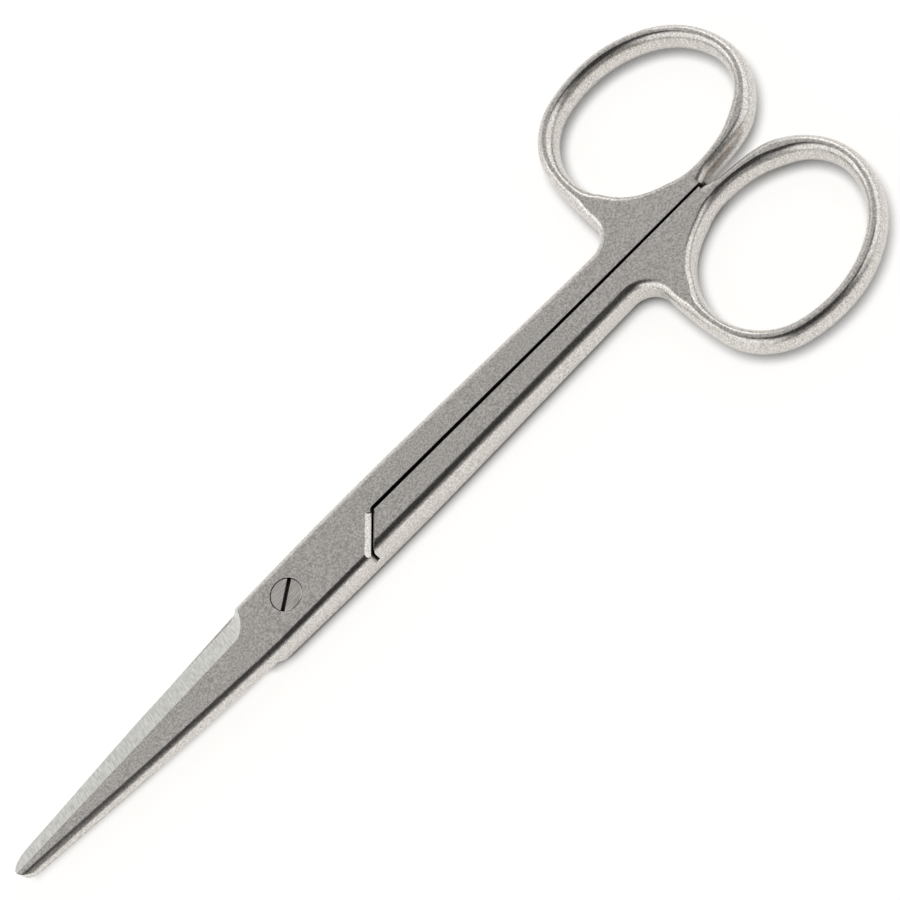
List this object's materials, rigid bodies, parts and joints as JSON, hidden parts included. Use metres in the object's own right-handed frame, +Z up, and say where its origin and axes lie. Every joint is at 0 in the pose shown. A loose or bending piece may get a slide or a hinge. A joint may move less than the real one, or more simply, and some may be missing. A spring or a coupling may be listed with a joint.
{
  "type": "dissecting scissors",
  "caption": "Straight blunt-tipped dissecting scissors of satin stainless steel, with bevelled blades, a lap joint on a slotted screw and oval finger rings, closed at rest.",
  "frame": {"origin": "pivot axis where it meets the flat underside of the joint", "axes": "+X from the pivot to the finger rings, tips at -X; +Y towards the upper half's ring; +Z up along the pivot axis"},
  "size_m": [0.1446, 0.0532, 0.0056],
  "materials": {
    "satin_steel": "satin, fine bead-blasted and brushed",
    "screw_steel": "satin, fine ground"
  },
  "bodies": {
    "lower": {"lower_half": "satin_steel", "pivot_screw": "screw_steel"},
    "upper": {"upper_half": "satin_steel"}
  },
  "joints": [
    {"name": "pivot", "type": "hinge", "parent": "lower", "child": "upper", "pos_m": [0, 0, 0.0028], "axis": [0, 0, 1], "range_deg": [0, 135]}
  ]
}
